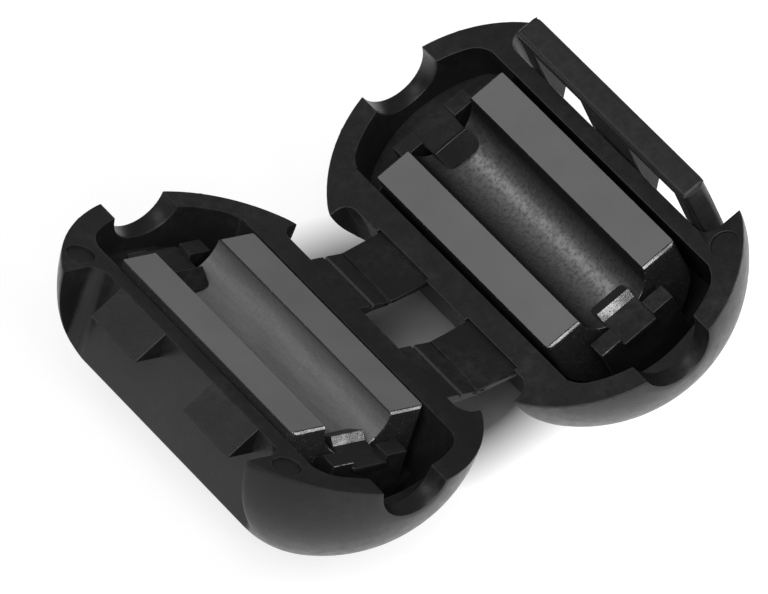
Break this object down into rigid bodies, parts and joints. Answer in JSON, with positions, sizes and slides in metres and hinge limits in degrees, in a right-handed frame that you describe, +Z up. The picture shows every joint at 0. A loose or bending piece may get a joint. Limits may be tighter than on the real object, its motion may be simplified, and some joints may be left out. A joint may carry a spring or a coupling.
{
  "type": "clip-on ferrite bead",
  "caption": "Open clip-on ferrite bead: hinged black half shells with domed ends, each holding a grooved half core, with a latch loop and catch teeth to close round a cable.",
  "frame": {"origin": "middle of the footprint on the surface that the open halves rest on, under the hinge fold", "axes": "+X from the catch half to the latch half, +Y along the cable, +Z up"},
  "size_m": [0.0386, 0.031, 0.0157],
  "materials": {
    "case_plastic": "satin",
    "sintered_ferrite": "matte"
  },
  "bodies": {
    "catch_half": {"catch_half_shell": "case_plastic", "catch_ferrite_half": "sintered_ferrite"},
    "latch_half": {"latch_half_shell": "case_plastic", "latch_ferrite_half": "sintered_ferrite"},
    "snap_loop": {"latch_loop": "case_plastic"}
  },
  "joints": [
    {"name": "living_hinge", "type": "hinge", "parent": "catch_half", "child": "latch_half", "pos_m": [0, 0, 0.0059], "axis": [0, -1, 0], "range_deg": [-40.5, 139.5], "stiffness_Nm_per_rad": 0.01},
    {"name": "latch_flex", "type": "hinge", "parent": "latch_half", "child": "snap_loop", "pos_m": [0.0175, 0, 0.00847], "axis": [0, 1, 0], "range_deg": [0, 20], "stiffness_Nm_per_rad": 0.005}
  ]
}
